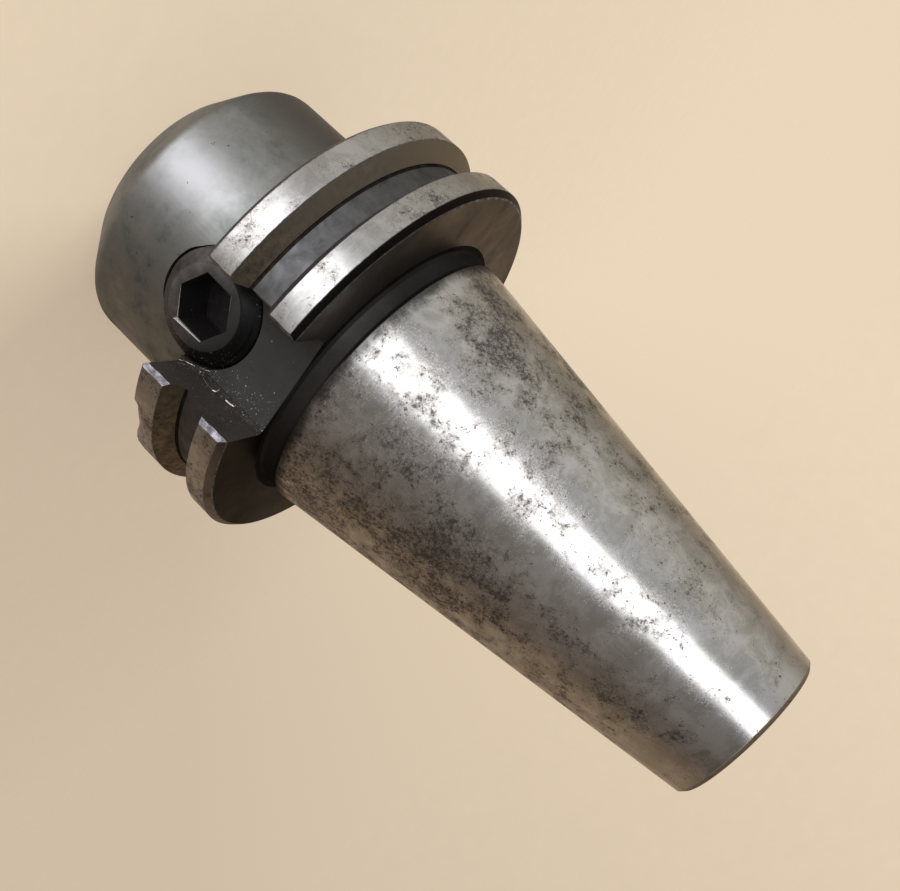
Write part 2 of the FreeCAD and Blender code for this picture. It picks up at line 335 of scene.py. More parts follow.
# A bar along Z that cuts one drive slot, flared where it leaves the flange
def slotCutter(floor, facing):
    h, s = holderSizes, slotSizes
    half = s["width"] / 2
    outside = h["flangeRadius"] + 3
    bevelFoot = math.sqrt(h["flangeRadius"] ** 2 - (half + s["bevel"]) ** 2) - s["bevel"]
    low, high = h["flangeFront"] - 1, h["taperStart"] + 0.05
    deselectAll()
    bpy.ops.mesh.primitive_cube_add(size=1, location=(0, 0, 0))
    bar = bpy.context.object
    bar.scale = (s["width"] * mm, (bevelFoot - floor) * mm, (high - low) * mm)
    bar.location = (0, (bevelFoot + floor) / 2 * mm, (high + low) / 2 * mm)
    applyPlace(bar)
    foot = floor * mm + 1e-6
    selectWhere(bar, "edges", lambda ends: (
        all(p.y < foot for p in ends) and abs(ends[0].x - ends[1].x) < 1e-6))
    bpy.ops.mesh.bevel(offset=s["fillet"] * mm, segments=4, affect="EDGES")
    rim = bevelFoot * mm - 1e-6
    selectWhere(bar, "polygons", lambda ends: all(p.y > rim for p in ends))
    bpy.ops.mesh.extrude_region_move()
    bpy.ops.transform.translate(value=(0, (outside - bevelFoot) * mm, 0))
    grow = (half + outside - bevelFoot) / half
    bpy.ops.transform.resize(value=(grow, 1, 1), center_override=(0, 0, 0))
    bpy.ops.mesh.select_all(action="SELECT")
    bpy.ops.mesh.normals_make_consistent(inside=False)
    bpy.ops.object.mode_set(mode="OBJECT")
    # The outer edges are struck and rubbed, so they waver along the slot
    selectWhere(bar, "edges", lambda ends: abs(ends[0].z - ends[1].z) > 1 * mm)
    bpy.ops.mesh.subdivide(number_cuts=s["steps"])
    bpy.ops.object.mode_set(mode="OBJECT")
    chance = random.Random(7 + facing)
    phases = {side: [chance.uniform(0, 6.28) for wave in s["waves"]] for side in (-1, 1)}
    for vertex in bar.data.vertices:
        if vertex.co.y > rim:
            side = 1 if vertex.co.x > 0 else -1
            vertex.co.x += mm * sum(
                size * math.sin(2 * math.pi * vertex.co.z / mm / length + phase)
                for (length, size), phase in zip(s["waves"], phases[side]))
    if facing < 0:
        bar.rotation_euler = (0, 0, math.pi)
        applyPlace(bar)
    return bar


# A wedge that breaks the slot's two corners on the flange's front face
def mouthCutter(floor, facing):
    h, s = holderSizes, slotSizes
    outside = h["flangeRadius"] + 3
    deselectAll()
    bpy.ops.mesh.primitive_cube_add(size=1)
    wedge = bpy.context.object
    wedge.scale = (s["width"] * mm, (outside - floor) * mm, 2 * s["mouth"] * mm)
    wedge.location = (0, (outside + floor) / 2 * mm, h["flangeFront"] * mm)
    applyPlace(wedge)
    foot = h["flangeFront"] * mm
    selectWhere(wedge, "polygons", lambda ends: all(p.z < foot for p in ends))
    grow = 1 + 4 * s["mouth"] / s["width"]
    bpy.ops.transform.resize(value=(grow, 1, 1), center_override=(0, 0, 0))
    bpy.ops.object.mode_set(mode="OBJECT")
    if facing < 0:
        wedge.rotation_euler = (0, 0, math.pi)
        applyPlace(wedge)
    return wedge


# Lays a turned cutter or screw, made upright on the origin, along -Y at the screw's height
def layAlongScrew(piece, start):
    turn = Matrix.Rotation(math.radians(90), 4, "X")
    place = Matrix.Translation((0, -start * mm, screwSizes["height"] * mm))
    piece.matrix_world = place @ turn
    applyPlace(piece)


def screwHoleCutter():
    s = screwSizes
    deselectAll()
    bpy.ops.mesh.primitive_cylinder_add(
        vertices=s["segments"], radius=s["holeRadius"] * mm, depth=s["mouthFloor"] * mm,
        location=(0, 0, s["mouthFloor"] / 2 * mm))
    drill = bpy.context.object
    applyPlace(drill)
    top = s["mouthFloor"] * mm - 1e-6
    selectWhere(drill, "polygons", lambda ends: all(p.z > top for p in ends))
    step = s["mouthRadius"] - s["holeRadius"]
    grow = s["mouthRadius"] / s["holeRadius"]
    bpy.ops.mesh.extrude_region_move()
    bpy.ops.transform.translate(value=(0, 0, step * mm))
    bpy.ops.transform.resize(value=(grow, grow, 1), center_override=(0, 0, 0))
    bpy.ops.mesh.extrude_region_move()
    bpy.ops.transform.translate(value=(0, 0, 14 * mm))
    bpy.ops.object.mode_set(mode="OBJECT")
    layAlongScrew(drill, 0)
    return drill


def dentCutter(number):
    d = dentSizes
    tilt = math.atan(d["depth"] / d["run"])
    angle = math.radians(d["angle"] + number * d["spacing"])
    out = holderSizes["flangeRadius"] - d["depth"] + d["radius"] / math.cos(tilt)
    deselectAll()
    bpy.ops.mesh.primitive_cylinder_add(vertices=48, radius=d["radius"] * mm, depth=d["reach"] * mm)
    cutter = bpy.context.object
    cutter.matrix_world = (
        Matrix.Rotation(angle, 4, "Z")
        @ Matrix.Translation((out * mm, 0, holderSizes["flangeFront"] * mm))
        @ Matrix.Rotation(tilt, 4, "Y"))
    applyPlace(cutter)
    return cutter


def buildScrew():
    s = screwSizes
    corners = [
        (0.6, 0, 0),
        (s["radius"] - s["tipChamfer"], 0, 0.2),
        (s["radius"], s["tipChamfer"], 0.15),
        (s["radius"], s["length"] - s["faceRun"], 0.2),
        (s["radius"] - s["faceBevel"], s["length"], 0.25),
        (0.6, s["length"], 0),
    ]
    points = roundCorners(corners)
    deselectAll()
    rings = 140
    bpy.ops.mesh.primitive_cylinder_add(
        vertices=s["segments"], radius=s["radius"] * mm, depth=s["length"] * mm,
        location=(0, 0, s["length"] / 2 * mm))
    piece = bpy.context.object
    piece.name = "setScrew"
    applyPlace(piece)
    selectWhere(piece, "edges", lambda ends: abs(ends[0].z - ends[1].z) > 1 * mm)
    bpy.ops.mesh.subdivide(number_cuts=rings)
    bpy.ops.object.mode_set(mode="OBJECT")
    # Every ring follows the turned outline or the thread's flank, whichever lies deeper
    for vertex in piece.data.vertices:
        x, y, z = vertex.co / mm
        around = math.atan2(y, x)
        rise = (z / s["pitch"] - around / (2 * math.pi)) % 1
        flank = abs(rise - 0.5) * 2
        groove = s["radius"] - s["threadDepth"] * min(1, max(0, (flank - 0.12) / 0.76))
        radius = min(groove, outlineRadius(points, z))
        vertex.co.x = math.cos(around) * radius * mm
        vertex.co.y = math.sin(around) * radius * mm
    cutAway(piece, socketCutter())
    # The worn edge comes first, because its neighbours' small bevels would hold it back
    breakSocketEdge(piece, s["wornSide"], s["wornEdge"])
    for step in range(1, 6):
        breakSocketEdge(piece, (s["wornSide"] + step) % 6, s["socketEdge"])
    layAlongScrew(piece, s["face"] - s["length"])
    return piece


# Bevels one of the six edges of the hex socket's mouth, while the screw is still upright
def breakSocketEdge(piece, side, size):
    s = screwSizes
    turn = math.radians(s["socketTurn"] + 30 + 60 * side)
    across = Vector((math.cos(turn), math.sin(turn), 0))
    flat = s["socketFlats"] / 2 * mm
    top = s["length"] * mm
    near = 0.02 * mm
    selectWhere(piece, "edges", lambda ends: all(
        abs(p.z - top) < near and abs(p.dot(across) - flat) < near for p in ends))
    bpy.ops.mesh.bevel(offset=size * mm, segments=2, affect="EDGES")
    bpy.ops.object.mode_set(mode="OBJECT")


def outlineRadius(points, height):
    for low, high in zip(points, points[1:]):
        if min(low.y, high.y) - 1e-6 <= height <= max(low.y, high.y) + 1e-6 and high.y > low.y:
            t = (height - low.y) / (high.y - low.y)
            return low.x + (high.x - low.x) * t
    return points[1].x if height < 1 else points[-2].x


def socketCutter():
    s = screwSizes
    corner = s["socketFlats"] / math.sqrt(3)
    floor = s["length"] - s["socketDepth"]
    deselectAll()
    bpy.ops.mesh.primitive_cylinder_add(
        vertices=6, radius=corner * mm, depth=(s["socketDepth"] + 2) * mm,
        location=(0, 0, (floor + (s["socketDepth"] + 2) / 2) * mm))
    key = bpy.context.object
    key.rotation_euler = (0, 0, math.radians(s["socketTurn"] - 90))
    applyPlace(key)
    return key


camera = {
    "place": (-56.58, -136.24, 87.69),
    "forward": (0.4423, 0.8745, -0.1991),
    "roll": 134.6,           # degrees
    "focal": 1043.5,         # pixels
    "centre": (399.9, 503.3),  # pixels, the point straight ahead
    "width": 900,            # pixels
    "height": 891,
    "sensor": 36,
}


def addCamera():
    c = camera
    forward = Vector(c["forward"]).normalized()
    level = forward.to_track_quat("-Z", "Y")
    turn = Quaternion((0, 0, 1), math.radians(c["roll"]))
    deselectAll()
    bpy.ops.object.camera_add(location=Vector(c["place"]) * mm, rotation=(level @ turn).to_euler())
    eye = bpy.context.object
    eye.name = "photoCamera"
    eye.data.sensor_width = c["sensor"]
    eye.data.lens = c["focal"] / c["width"] * c["sensor"]
    eye.data.shift_x = (c["width"] / 2 - c["centre"][0]) / c["width"]
    eye.data.shift_y = (c["centre"][1] - c["height"] / 2) / c["width"]
    eye.data.clip_start = 0.01
    eye.data.clip_end = 20
    bpy.context.scene.camera = eye


lighting = {
    "window": (0.27, 1.3),             # metres across and tall
    "windowTowards": (-0.593, -0.805),
    "windowDistance": 0.52,            # metres
    "windowHeight": -0.05,
    "windowPower": 3.5,                # watts
    "windowColour": "#f5f6ff",
    "paper": "#ead7bc",
    # painted shade: the paper's colour on the side away from the window
    "paperShaded": "#d0bda6",
    "roomLight": "#cfccc7",
    "above": "#2f2c29",
    "below": "#c9b9a9",
    # What polished sides mirror, by the heading round the tool axis in degrees
    "around": [
        (-180, "#dcdad6"), (-158, "#d2d1d4"), (-100, "#8f8b88"), (-70, "#918a84"),
        (-52, "#786e68"), (-32, "#776960"), (-12, "#94806b"), (12, "#a58e77"),
        (32, "#99836f"), (50, "#ac957c"), (82, "#dac4aa"), (100, "#b9a78f"),
        (120, "#a39686"), (139, "#b5afa6"), (156, "#d0cbc4"), (180, "#dcdad6")],
}


def addLights():
    deselectAll()
    across, tall = lighting["window"]
    towards = Vector(lighting["windowTowards"]).normalized() * lighting["windowDistance"]
    bpy.ops.object.light_add(type="AREA", location=(towards.x, towards.y, lighting["windowHeight"]))
    window = bpy.context.object
    window.name = "windowLight"
    window.rotation_euler = Vector((-towards.x, -towards.y, 0)).to_track_quat("-Z", "Y").to_euler()
    window.data.shape = "RECTANGLE"
    window.data.size = across
    window.data.size_y = tall
    window.data.energy = lighting["windowPower"]
    window.data.color = toLinear(lighting["windowColour"])[:3]
    window.visible_camera = False
    world = bpy.data.worlds.new("room")
    bpy.context.scene.world = world
    world.use_nodes = True
    tree = world.node_tree
    heading = addNode(tree, "ShaderNodeTexCoord").outputs["Generated"]
    split = addNode(tree, "ShaderNodeSeparateXYZ", None, {0: heading})
    angle = addNode(tree, "ShaderNodeMath", {"operation": "ARCTAN2"}, {
        0: split.outputs["Y"], 1: split.outputs["X"]})
    turn = addNode(tree, "ShaderNodeMapRange", {
        "From Min": -math.pi, "From Max": math.pi}, {"Value": angle.outputs[0]})
    around = addNode(tree, "ShaderNodeValToRGB", {
        "stops": [((degrees + 180) / 360, colour) for degrees, colour in lighting["around"]]},
        {"Fac": turn.outputs[0]})
    upShare = addNode(tree, "ShaderNodeMapRange", {
        "interpolation_type": "SMOOTHSTEP", "From Min": 0.38, "From Max": 0.8}, {"Value": split.outputs["Z"]})
    downShare = addNode(tree, "ShaderNodeMapRange", {
        "interpolation_type": "SMOOTHSTEP", "From Min": -0.55, "From Max": -0.95},
        {"Value": split.outputs["Z"]})
    withAbove = addNode(tree, "ShaderNodeMix", {
        "data_type": "RGBA", 7: toLinear(lighting["above"])},
        {0: upShare.outputs[0], 6: around.outputs["Color"]})
    mirrored = addNode(tree, "ShaderNodeMix", {
        "data_type": "RGBA", 7: toLinear(lighting["below"])},
        {0: downShare.outputs[0], 6: withAbove.outputs[2]})
    paper = paperColour(tree, heading, split.outputs["X"], 70)
    rays = addNode(tree, "ShaderNodeLightPath")
    lit = addNode(tree, "ShaderNodeMix", {
        "data_type": "RGBA", 6: toLinear(lighting["roomLight"])},
        {0: rays.outputs["Is Glossy Ray"], 7: mirrored.outputs[2]})
    shown = addNode(tree, "ShaderNodeMix", {
        "data_type": "RGBA"}, {0: rays.outputs["Is Camera Ray"], 6: lit.outputs[2], 7: paper})
    tree.links.new(shown.outputs[2], tree.nodes["Background"].inputs["Color"])


# Brown paper with painted shade: a little darker away from the window's side, with faint fibres
def paperColour(tree, place, aside, fineness):
    share = addNode(tree, "ShaderNodeMapRange", {"From Min": 0.1, "From Max": 0.8}, {"Value": aside})
    colour = addNode(tree, "ShaderNodeMix", {
        "data_type": "RGBA", 6: toLinear(lighting["paper"]), 7: toLinear(lighting["paperShaded"])},
        {0: share.outputs[0]})
    fibres = addNode(tree, "ShaderNodeTexNoise", {
        "Scale": fineness, "Detail": 6, "Roughness": 0.7}, {"Vector": place})
    light = addNode(tree, "ShaderNodeMapRange", {
        "From Min": 0.3, "From Max": 0.7, "To Min": 0.985, "To Max": 1.015}, {"Value": fibres.outputs["Fac"]})
    return addNode(tree, "ShaderNodeVectorMath", {"operation": "SCALE"}, {
        0: colour.outputs[2], "Scale": light.outputs[0]}).outputs[0]


def addFloor():
    deselectAll()
    bpy.ops.mesh.primitive_plane_add(size=12, location=(0, 0, 0))
    floor = bpy.context.object
    floor.name = "floor"
    floor.visible_glossy = False    # the nose mirrors the room below it, as it does held in the air
    floor.visible_shadow = False
    tree, shader, place = newMaterial("kraftPaper")
    ahead = addNode(tree, "ShaderNodeVectorMath", {"operation": "NORMALIZE"}, {0: place})
    split = addNode(tree, "ShaderNodeSeparateXYZ", None, {0: ahead.outputs[0]})
    paper = paperColour(tree, place, split.outputs["X"], perMm(4))
    tree.links.new(paper, shader.inputs["Base Color"])
    shader.inputs["Roughness"].default_value = 0.9
    shader.inputs["Specular IOR Level"].default_value = 0.1
    # Far from the tool the paper runs into the plain background
    reach = addNode(tree, "ShaderNodeVectorMath", {"operation": "LENGTH"}, {0: place})
    farShare = addNode(tree, "ShaderNodeMapRange", {
        "From Max": 0.25, "To Min": 0.7}, {"Value": reach.outputs["Value"]})
    glow = addNode(tree, "ShaderNodeEmission", None, {"Color": paper})
    mixed = addNode(tree, "ShaderNodeMixShader", None, {
        0: farShare.outputs[0], 1: shader.outputs[0], 2: glow.outputs[0]})
    tree.links.new(mixed.outputs[0], tree.nodes["Material Output"].inputs["Surface"])
    floor.data.materials.append(bpy.data.materials["kraftPaper"])


def perMm(size):
    return 1000 / size


def newMaterial(name):
    material = bpy.data.materials.new(name)
    material.use_nodes = True
    tree = material.node_tree
    place = addNode(tree, "ShaderNodeTexCoord").outputs["Object"]
    return tree, tree.nodes["Principled BSDF"], place


# Ground, hardened alloy steel with fretting and storage stains: bright, with short grinding lines
# round the axis, under a dull haze and clouds of small dark specks
groundLook = {
    "steel": "#c8c6c3",
    "steelDull": "#aeada6",
    "hazeDark": "#6f6b63",
    "haze": "#98938a",
    "hazeLight": "#cfcbc3",
    "stain": "#4a4840",
    "stainViolet": "#544d54",
    "roughness": 0.21,
    "roughnessStained": 0.5,
    "cloud": 10,       # mm across
    "cluster": 2.6,
    "speck": 0.62,
    "pepper": 0.24,
    "highlightSide": (-0.42, -0.9, 0),    # the side where the highlight falls faces this way; fewer stains and less haze are laid there
    "lineLength": 3,   # mm
    "line": 0.2,       # mm, coarser than the real grinding lines so that they show
    "lineSpread": 0.03,
    "cover": 0.0,
}


def groundSteel(name, look):
    tree, shader, place = newMaterial(name)
    shader.inputs["Metallic"].default_value = 1
    split = addNode(tree, "ShaderNodeSeparateXYZ", None, {0: place})
    cloud = addNode(tree, "ShaderNodeTexNoise", {
        "Scale": perMm(look["cloud"]), "Detail": 2, "Roughness": 0.5}, {"Vector": place})
    cluster = addNode(tree, "ShaderNodeTexNoise", {
        "Scale": perMm(look["cluster"]), "Detail": 2, "Roughness": 0.6}, {"Vector": place})
    speck = addNode(tree, "ShaderNodeTexNoise", {
        "Scale": perMm(look["speck"]), "Detail": 6, "Roughness": 0.76, "Distortion": 0.2}, {"Vector": place})
    pepper = addNode(tree, "ShaderNodeTexNoise", {
        "Scale": perMm(look["pepper"]), "Detail": 2, "Roughness": 0.6}, {"Vector": place})
    # Denser towards the flange and down the side that lay on the bench
    nearFlange = addNode(tree, "ShaderNodeMapRange", {
        "From Min": 0.045, "From Max": 0.1127,
        "To Min": 0.1 + look["cover"], "To Max": -0.13 + look["cover"]},
        {"Value": split.outputs["Z"]})
    leaning = addNode(tree, "ShaderNodeMath", {
        "operation": "MULTIPLY_ADD", 1: 2.5}, {0: split.outputs["X"], 2: nearFlange.outputs[0]})
    broad = addNode(tree, "ShaderNodeMath", {
        "operation": "MULTIPLY_ADD", 1: 1.0}, {0: cloud.outputs["Fac"], 2: leaning.outputs[0]})
    crowd = addNode(tree, "ShaderNodeMath", {
        "operation": "MULTIPLY_ADD", 1: 1.0}, {0: cluster.outputs["Fac"], 2: broad.outputs[0]})
    flat = addNode(tree, "ShaderNodeVectorMath", {"operation": "MULTIPLY", 1: (1, 1, 0)}, {0: place})
    outward = addNode(tree, "ShaderNodeVectorMath", {"operation": "NORMALIZE"}, {0: flat.outputs[0]})
    facing = addNode(tree, "ShaderNodeVectorMath", {
        "operation": "DOT_PRODUCT", 1: look["highlightSide"]}, {0: outward.outputs[0]})
    highlightSide = addNode(tree, "ShaderNodeMapRange", {
        "interpolation_type": "SMOOTHSTEP", "From Min": 0.86, "From Max": 0.98, "To Max": -0.06},
        {"Value": facing.outputs["Value"]})
    # Towards the tail end that side keeps fewer stains still
    towardsTail = addNode(tree, "ShaderNodeMapRange", {
        "From Min": 0.078, "From Max": 0.1, "To Min": 1, "To Max": 2.6}, {"Value": split.outputs["Z"]})
    left = addNode(tree, "ShaderNodeMath", {"operation": "MULTIPLY_ADD"}, {
        0: highlightSide.outputs[0], 1: towardsTail.outputs[0], 2: crowd.outputs[0]})
    needed = addNode(tree, "ShaderNodeMapRange", {
        "From Min": 0.82, "From Max": 1.25, "To Min": 0.97, "To Max": 0.77}, {"Value": left.outputs[0]})
    broken = addNode(tree, "ShaderNodeMath", {
        "operation": "MULTIPLY_ADD", 1: 0.6}, {0: pepper.outputs["Fac"], 2: speck.outputs["Fac"]})
    over = addNode(tree, "ShaderNodeMath", {"operation": "SUBTRACT"}, {
        0: broken.outputs[0], 1: needed.outputs[0]})
    stained = addNode(tree, "ShaderNodeMapRange", {
        "interpolation_type": "SMOOTHSTEP", "From Min": -0.03, "From Max": 0.08, "To Max": 0.9},
        {"Value": over.outputs[0]})
    hazeShare = addNode(tree, "ShaderNodeMapRange", {
        "interpolation_type": "SMOOTHSTEP", "From Min": 0.82, "From Max": 1.2, "To Max": 0.85},
        {"Value": left.outputs[0]})
    mottle = addNode(tree, "ShaderNodeTexNoise", {
        "Scale": perMm(4), "Detail": 5, "Roughness": 0.72, "Distortion": 0.6}, {"Vector": place})
    mottled = addNode(tree, "ShaderNodeMapRange", {
        "interpolation_type": "SMOOTHSTEP", "From Min": 0.38, "From Max": 0.62},
        {"Value": mottle.outputs["Fac"]})
    metal = addNode(tree, "ShaderNodeMix", {
        "data_type": "RGBA", 6: toLinear(look["steel"]), 7: toLinear(look["steelDull"])},
        {0: mottled.outputs[0]})
    # The haze is frosted: dark and light grains side by side
    frost = addNode(tree, "ShaderNodeValToRGB", {"stops": [
        (0.38, look["hazeDark"]), (0.5, look["haze"]), (0.62, look["hazeLight"])]},
        {"Fac": pepper.outputs["Fac"]})
    hazed = addNode(tree, "ShaderNodeMix", {"data_type": "RGBA"}, {
        0: hazeShare.outputs[0], 6: metal.outputs[2], 7: frost.outputs["Color"]})
    stain = addNode(tree, "ShaderNodeMix", {
        "data_type": "RGBA", 6: toLinear(look["stain"]), 7: toLinear(look["stainViolet"])},
        {0: cloud.outputs["Fac"]})
    colour = addNode(tree, "ShaderNodeMix", {"data_type": "RGBA"}, {
        0: stained.outputs[0], 6: hazed.outputs[2], 7: stain.outputs[2]})
    # Painted shade: the first millimetres above the relief are darkened towards near black, with a ragged
    # limit
    startHeight = holderSizes["taperStart"] * mm
    ragged = addNode(tree, "ShaderNodeMath", {
        "operation": "MULTIPLY_ADD", 1: -3.2 * mm}, {0: mottle.outputs["Fac"], 2: split.outputs["Z"]})
    rim = addNode(tree, "ShaderNodeMapRange", {
        "interpolation_type": "SMOOTHSTEP",
        "From Min": startHeight - 1.4 * mm, "From Max": startHeight + 0.6 * mm,
        "To Min": 0.85 if name == "groundTaper" else 0, "To Max": 0}, {"Value": ragged.outputs[0]})
    paintedStartShade = addNode(tree, "ShaderNodeMix", {
        "data_type": "RGBA", 7: toLinear("#3a3836")}, {0: rim.outputs[0], 6: colour.outputs[2]})
    tree.links.new(paintedStartShade.outputs[2], shader.inputs["Base Color"])
    # Grinding lines: a noise drawn out round the axis, long in X and Y and short in Z
    drawn = addNode(tree, "ShaderNodeVectorMath", {"operation": "MULTIPLY", 1: (
        perMm(look["lineLength"]), perMm(look["lineLength"]), perMm(look["line"]))}, {0: place})
    lines = addNode(tree, "ShaderNodeTexNoise", {
        "Scale": 1, "Detail": 2, "Roughness": 0.6}, {"Vector": drawn.outputs[0]})
    lineRoughness = addNode(tree, "ShaderNodeMapRange", {
        "From Min": 0.3, "From Max": 0.7, "To Min": look["roughness"] - look["lineSpread"],
        "To Max": look["roughness"] + look["lineSpread"]}, {"Value": lines.outputs["Fac"]})
    dullRoughness = addNode(tree, "ShaderNodeMath", {
        "operation": "MULTIPLY_ADD", 1: 0.16}, {0: hazeShare.outputs[0], 2: lineRoughness.outputs[0]})
    roughness = addNode(tree, "ShaderNodeMix", {3: look["roughnessStained"]}, {
        0: stained.outputs[0], 2: dullRoughness.outputs[0]})
    tree.links.new(roughness.outputs[0], shader.inputs["Roughness"])
    relief = addNode(tree, "ShaderNodeMath", {
        "operation": "MULTIPLY_ADD", 1: -2}, {0: stained.outputs[0], 2: mottle.outputs["Fac"]})
    surface = addNode(tree, "ShaderNodeMath", {
        "operation": "MULTIPLY_ADD", 1: 0.5}, {0: lines.outputs["Fac"], 2: relief.outputs[0]})
    bump = addNode(tree, "ShaderNodeBump", {"Strength": 0.2, "Distance": 0.02 * mm}, {
        "Height": surface.outputs[0]})
    tree.links.new(bump.outputs[0], shader.inputs["Normal"])
    return bpy.data.materials[name]


# Hot-blackened steel, handled for years: a thin dark oxide worn to grey in soft patches.
# The polished place (centre, reach in mm, colour and roughness) is wear from handling, set where the
# highlight falls, so its lighter colour is partly painted highlight.
# The painted shading is light and shade painted on one side: it goes over to another colour along one axis,
# between two places in mm. The dust lies thickest
# at a corner that runs along Z: its X and Y, its reach, and the share of grains there and far away.
blackLook = {
    "oxide": "#7a7b79",
    "rubbed": "#8d8d8b",
    "dull": "#636660",
    "roughness": 0.4,
    "roughnessSpread": 0.1,
    "patch": 7,       # mm across
    "grain": 0.6,
    "glare": 0.7,     # share of the glare at low angles that the oxide keeps
    "spot": 0.0,
    "rubAndHighlight": None,
    "lean": None,
    "dust": None,
}
# The nose: painted shade makes its -X edge darker beside the highlight; its polished place is wear set where
# the highlight falls, so it is partly painted highlight
noseLook = dict(
    blackLook, oxide="#898b87", rubbed="#9c9d99", dull="#5f6865", patch=5.5, spot=0.3,
    lean=("X", -17, -22.3, "#6f6d69"), rubAndHighlight=((-10.4, -19.6, 11.5), 9, "#a0a09f", 0.4))
flangeLook = dict(blackLook, oxide="#67645f", rubbed="#74716c", dull="#514e48", roughness=0.38)
# Painted shade: the rear corner is grey on the +X side and goes over to near black on the other
cornerLook = dict(
    flangeLook, oxide="#7d766d", rubbed="#8b847a", dull="#5f5952", lean=("X", 16, -6, "#2a2622"))
# Painted shade: the rear face goes over to near black towards +X
rearLook = dict(
    flangeLook, oxide="#6d665f", rubbed="#797269", dull="#59534d", roughness=0.36, glare=0.6,
    lean=("X", -14, 16, "#2b2723"))
neckLook = dict(
    flangeLook, oxide="#3f3d3b", rubbed="#484543", dull="#363432",
    roughness=0.55, roughnessSpread=0.03, glare=0.35)
slotLook = dict(
    blackLook, oxide="#595a58", rubbed="#626361", dull="#4d4e4c", roughness=0.6,
    dust=(8.2, -22.4, 7, 0.75, 0.03))
wallLook = dict(slotLook, oxide="#635d57", rubbed="#6e6862", dull="#504b46")
# Painted shade: the slots' fillets are darker than their floors and walls
filletLook = dict(slotLook, oxide="#504b47", rubbed="#5a5550", dull="#403c39", roughness=0.85)
grooveLook = dict(
    blackLook, oxide="#5e5e5d", rubbed="#6b6b6a", dull="#4b4b4a", roughness=0.5, grain=0.4, patch=2.5)
# Painted reflection: olive brown standing for the brown surroundings that the flank mirrors, with a few
# lighter specks; painted light makes it lighter towards -X
flankLook = dict(
    blackLook, oxide="#786f60", rubbed="#968a70", dull="#4c463b", roughness=0.5, grain=0.4, patch=1.1,
    lean=("X", -12, -26, "#9b9180"))
# Struck and rubbed corners: bare steel, bright and scratched
edgeLook = dict(
    blackLook, oxide="#7c7a7c", rubbed="#acabaf", dull="#545252", roughness=0.45, grain=0.3, patch=0.9)
tailLook = dict(blackLook, oxide="#b5a48d", rubbed="#c4b299", dull="#7d7060", roughness=0.6, patch=1.5)
# Painted shade on the screw: its face darker towards +Z, its side and bevel going over to near black towards
# +Z
screwFaceLook = dict(
    blackLook, oxide="#6d6b6a", rubbed="#858281", dull="#545251", roughness=0.45, patch=1.8,
    lean=("Z", 20, 31, "#4c4b4c"))
screwSideLook = dict(
    blackLook, oxide="#5a5957", rubbed="#6b6967", dull="#42403e", roughness=0.5, patch=1.8,
    lean=("Z", 21, 26, "#2a2a29"), dust=(5.5, -22, 5, 0.5, 0.03))
# Painted shade: the socket's inside is darker than the screw's face
socketLook = dict(
    blackLook, oxide="#494646", rubbed="#575454", dull="#353232", roughness=0.5,
    dust=(3, -18.5, 5, 0.15, 0.01))
# Painted shade: near black laid in the groove flank's foot and round the screw's hole, where shadow falls in
# the crease and the gap
creaseShadeLook = dict(blackLook, oxide="#2a2622", rubbed="#39332c", dull="#1c1917", roughness=0.7, patch=2)


